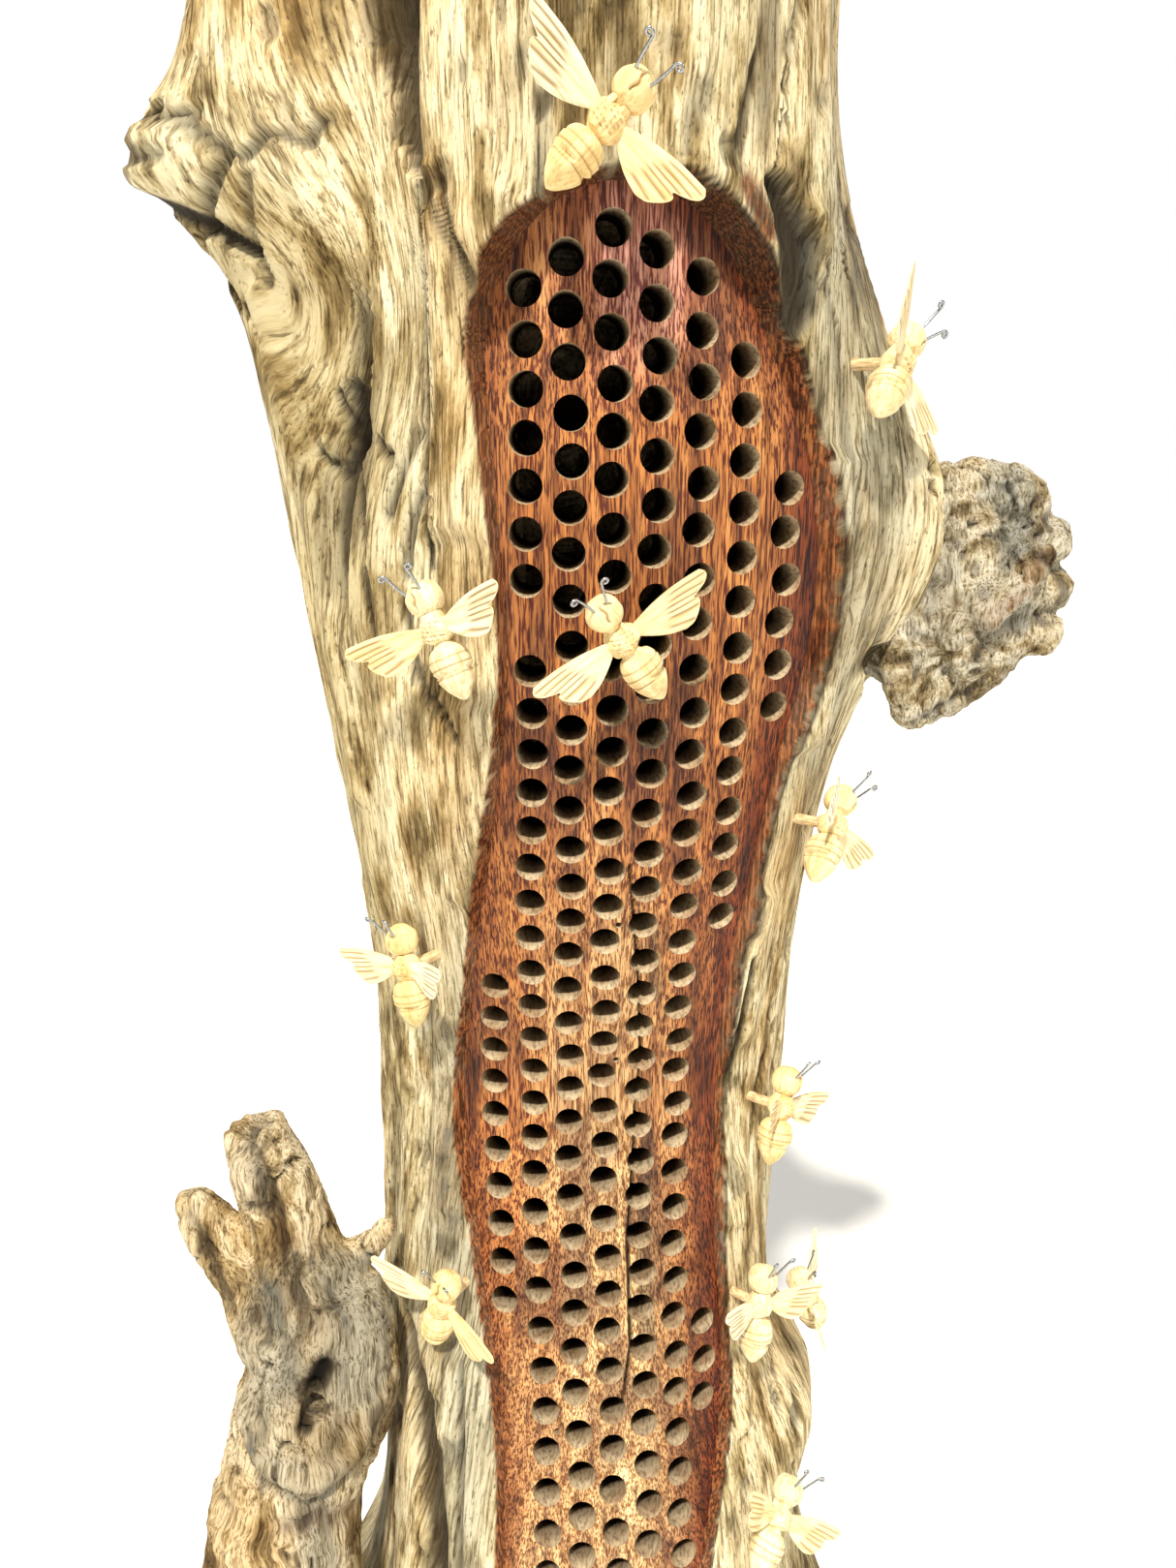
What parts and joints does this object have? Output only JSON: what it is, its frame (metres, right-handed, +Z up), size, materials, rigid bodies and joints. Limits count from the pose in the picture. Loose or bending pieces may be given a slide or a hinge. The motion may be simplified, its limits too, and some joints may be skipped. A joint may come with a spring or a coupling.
{
  "type": "insect hotel",
  "caption": "Free-standing root trunk with a carved heartwood face drilled with nest tubes, a forked side stem, and carved wooden bees turning on dowel pegs.",
  "frame": {"origin": "middle of the flat foot of the trunk, on the floor", "axes": "+Z up the trunk, -Y out of the drilled face, +X to the right of a viewer who faces the drilled face"},
  "size_m": [0.4972, 0.3314, 1.0471],
  "materials": {
    "weathered_wood": "weathered and dry, with a scraped red heartwood face",
    "grey_wood": "weathered grey, dry and rough",
    "carved_wood": "hand carved, bare",
    "wing_wood": "hand carved, bare",
    "peg_wood": "bare dowel",
    "steel_wire": "bright drawn wire"
  },
  "bodies": {
    "trunk": {"trunk": "weathered_wood", "side_stem": "grey_wood"},
    "bee_1": {"bee_1_body": "carved_wood", "bee_1_left_wing": "wing_wood", "bee_1_right_wing": "wing_wood", "bee_1_feelers": "steel_wire", "bee_1_peg": "peg_wood"},
    "bee_2": {"bee_2_body": "carved_wood", "bee_2_left_wing": "wing_wood", "bee_2_right_wing": "wing_wood", "bee_2_feelers": "steel_wire", "bee_2_peg": "peg_wood"},
    "bee_3": {"bee_3_body": "carved_wood", "bee_3_left_wing": "wing_wood", "bee_3_right_wing": "wing_wood", "bee_3_feelers": "steel_wire", "bee_3_peg": "peg_wood"},
    "bee_4": {"bee_4_body": "carved_wood", "bee_4_left_wing": "wing_wood", "bee_4_right_wing": "wing_wood", "bee_4_feelers": "steel_wire", "bee_4_peg": "peg_wood"},
    "bee_5": {"bee_5_body": "carved_wood", "bee_5_left_wing": "wing_wood", "bee_5_right_wing": "wing_wood", "bee_5_feelers": "steel_wire", "bee_5_peg": "peg_wood"},
    "bee_6": {"bee_6_body": "carved_wood", "bee_6_left_wing": "wing_wood", "bee_6_right_wing": "wing_wood", "bee_6_feelers": "steel_wire", "bee_6_peg": "peg_wood"},
    "bee_7": {"bee_7_body": "carved_wood", "bee_7_left_wing": "wing_wood", "bee_7_right_wing": "wing_wood", "bee_7_feelers": "steel_wire", "bee_7_peg": "peg_wood"},
    "bee_8": {"bee_8_body": "carved_wood", "bee_8_left_wing": "wing_wood", "bee_8_right_wing": "wing_wood", "bee_8_feelers": "steel_wire", "bee_8_peg": "peg_wood"},
    "bee_9": {"bee_9_body": "carved_wood", "bee_9_left_wing": "wing_wood", "bee_9_right_wing": "wing_wood", "bee_9_feelers": "steel_wire", "bee_9_peg": "peg_wood"},
    "bee_10": {"bee_10_body": "carved_wood", "bee_10_left_wing": "wing_wood", "bee_10_right_wing": "wing_wood", "bee_10_feelers": "steel_wire", "bee_10_peg": "peg_wood"},
    "bee_11": {"bee_11_body": "carved_wood", "bee_11_left_wing": "wing_wood", "bee_11_right_wing": "wing_wood", "bee_11_feelers": "steel_wire", "bee_11_peg": "peg_wood"}
  },
  "joints": [
    {"name": "bee_1_turn", "type": "hinge", "parent": "trunk", "child": "bee_1", "pos_m": [0.0064, -0.12219, 0.876], "axis": [0.0523, -0.9986, 0], "continuous": true},
    {"name": "bee_2_turn", "type": "hinge", "parent": "trunk", "child": "bee_2", "pos_m": [0.12452, -0.07482, 0.8], "axis": [0.8572, -0.515, 0], "continuous": true},
    {"name": "bee_3_turn", "type": "hinge", "parent": "trunk", "child": "bee_3", "pos_m": [-0.05983, -0.11251, 0.699], "axis": [-0.4695, -0.8829, 0], "continuous": true},
    {"name": "bee_4_turn", "type": "hinge", "parent": "trunk", "child": "bee_4", "pos_m": [0.01382, -0.11253, 0.695], "axis": [0.1219, -0.9925, 0], "continuous": true},
    {"name": "bee_5_turn", "type": "hinge", "parent": "trunk", "child": "bee_5", "pos_m": [0.11236, -0.07021, 0.601], "axis": [0.848, -0.5299, 0], "continuous": true},
    {"name": "bee_6_turn", "type": "hinge", "parent": "trunk", "child": "bee_6", "pos_m": [-0.0845, -0.0845, 0.536], "axis": [-0.7071, -0.7071, 0], "continuous": true},
    {"name": "bee_7_turn", "type": "hinge", "parent": "trunk", "child": "bee_7", "pos_m": [0.09765, -0.06586, 0.448], "axis": [0.829, -0.5592, 0], "continuous": true},
    {"name": "bee_8_turn", "type": "hinge", "parent": "trunk", "child": "bee_8", "pos_m": [-0.07249, -0.10353, 0.36], "axis": [-0.5736, -0.8191, 0], "range_deg": [-115, 8]},
    {"name": "bee_9_turn", "type": "hinge", "parent": "trunk", "child": "bee_9", "pos_m": [0.0878, -0.09092, 0.34737], "axis": [0.6879, -0.7123, 0.1392], "continuous": true},
    {"name": "bee_10_turn", "type": "hinge", "parent": "trunk", "child": "bee_10", "pos_m": [0.12733, -0.02245, 0.29125], "axis": [0.9366, -0.1652, 0.309], "continuous": true},
    {"name": "bee_11_turn", "type": "hinge", "parent": "trunk", "child": "bee_11", "pos_m": [0.09812, -0.12117, 0.24011], "axis": [0.6106, -0.7541, 0.2419], "continuous": true}
  ]
}
